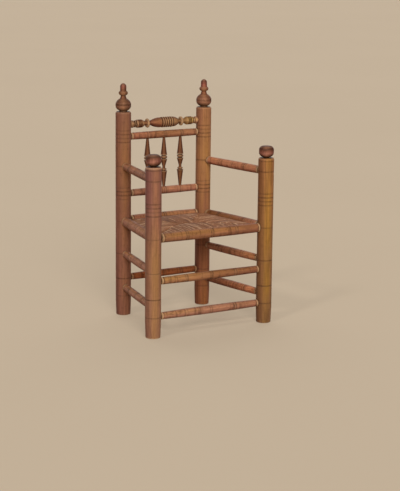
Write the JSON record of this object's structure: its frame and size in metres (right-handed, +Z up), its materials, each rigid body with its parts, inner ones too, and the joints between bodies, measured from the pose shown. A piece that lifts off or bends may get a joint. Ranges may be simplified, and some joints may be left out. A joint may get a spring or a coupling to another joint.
{
  "type": "carver chair",
  "caption": "Turned wooden armchair with scored round posts, finials, ball grips, a turned crest rail and spindles, level arms, round stretchers and a rush seat.",
  "frame": {"origin": "on the floor, midway between the four posts", "axes": "+Z up, -Y to the front of the chair, +X to the right as seen from the front"},
  "size_m": [0.643, 0.497, 1.067],
  "materials": {
    "post_wood": "old waxed wood, satin",
    "knob_wood": "darker old wood, satin",
    "rail_wood": "old waxed wood, satin",
    "spindle_wood": "old waxed wood, satin",
    "lath_wood": "riven, unfinished",
    "rush": "twisted rush, matt"
  },
  "bodies": {
    "root": {"front_post_left": "post_wood", "front_post_right": "post_wood", "rear_post_left": "post_wood", "rear_post_right": "post_wood", "finial_left": "knob_wood", "finial_right": "knob_wood", "pommel_left": "knob_wood", "pommel_right": "knob_wood", "stretcher_front_lower": "rail_wood", "stretcher_front_upper": "rail_wood", "stretcher_left_lower": "rail_wood", "stretcher_left_upper": "rail_wood", "stretcher_right_lower": "rail_wood", "stretcher_right_upper": "rail_wood", "stretcher_rear": "rail_wood", "arm_left": "rail_wood", "arm_right": "rail_wood", "lower_spindle_rail": "rail_wood", "upper_spindle_rail": "rail_wood", "seat_rail_front": "rail_wood", "seat_rail_rear": "rail_wood", "seat_rail_left": "rail_wood", "seat_rail_right": "rail_wood", "crest_rail": "spindle_wood", "spindle_left": "spindle_wood", "spindle_middle": "spindle_wood", "spindle_right": "spindle_wood", "seat_lath_front": "lath_wood", "seat_lath_rear": "lath_wood", "seat_lath_left": "lath_wood", "seat_lath_right": "lath_wood", "rush_seat": "rush"}
  },
  "joints": []
}
